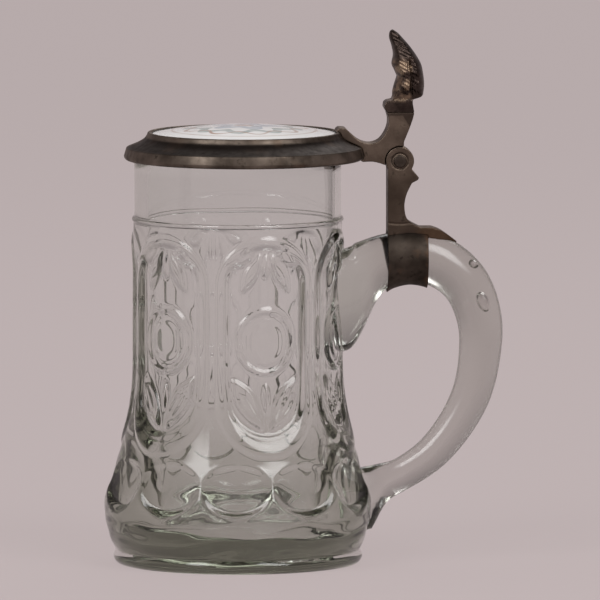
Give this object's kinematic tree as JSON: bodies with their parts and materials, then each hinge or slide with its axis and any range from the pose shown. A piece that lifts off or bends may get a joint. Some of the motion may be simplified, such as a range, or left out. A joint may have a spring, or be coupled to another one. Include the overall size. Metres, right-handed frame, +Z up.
{
  "type": "lidded beer stein",
  "caption": "Pressed glass beer stein with arched relief panels, an applied glass handle and a hinged pewter lid with a domed porcelain inlay and a thumblift.",
  "frame": {"origin": "centre of the foot's resting face, on the body's axis", "axes": "+Z up along the body's axis, +X towards the handle and hinge, the lid's hinge axis along Y"},
  "size_m": [0.1496, 0.0999, 0.2002],
  "materials": {
    "body_glass": "clear, pressed, faint grey-green tint",
    "handle_glass": "clear, fire polished, faint grey-green tint",
    "strap_pewter": "dark aged pewter",
    "hinge_pewter": "satin aged pewter",
    "pin_metal": "dark aged pewter",
    "lift_pewter": "dark brown patina, rubbed bright on the relief",
    "lid_pewter": "satin aged pewter",
    "porcelain": "white glaze with a faded painted ornament"
  },
  "bodies": {
    "stein": {"glass_body": "body_glass", "glass_handle": "handle_glass", "handle_strap": "strap_pewter", "hinge_post": "hinge_pewter", "hinge_pin": "pin_metal"},
    "lid": {"lid_ring": "lid_pewter", "porcelain_inlay": "porcelain", "lid_arm": "hinge_pewter", "thumblift": "lift_pewter"}
  },
  "joints": [
    {"name": "lid_hinge", "type": "hinge", "parent": "stein", "child": "lid", "pos_m": [0.0606, 0, 0.1511], "axis": [0, 1, 0], "range_deg": [0, 104]}
  ]
}
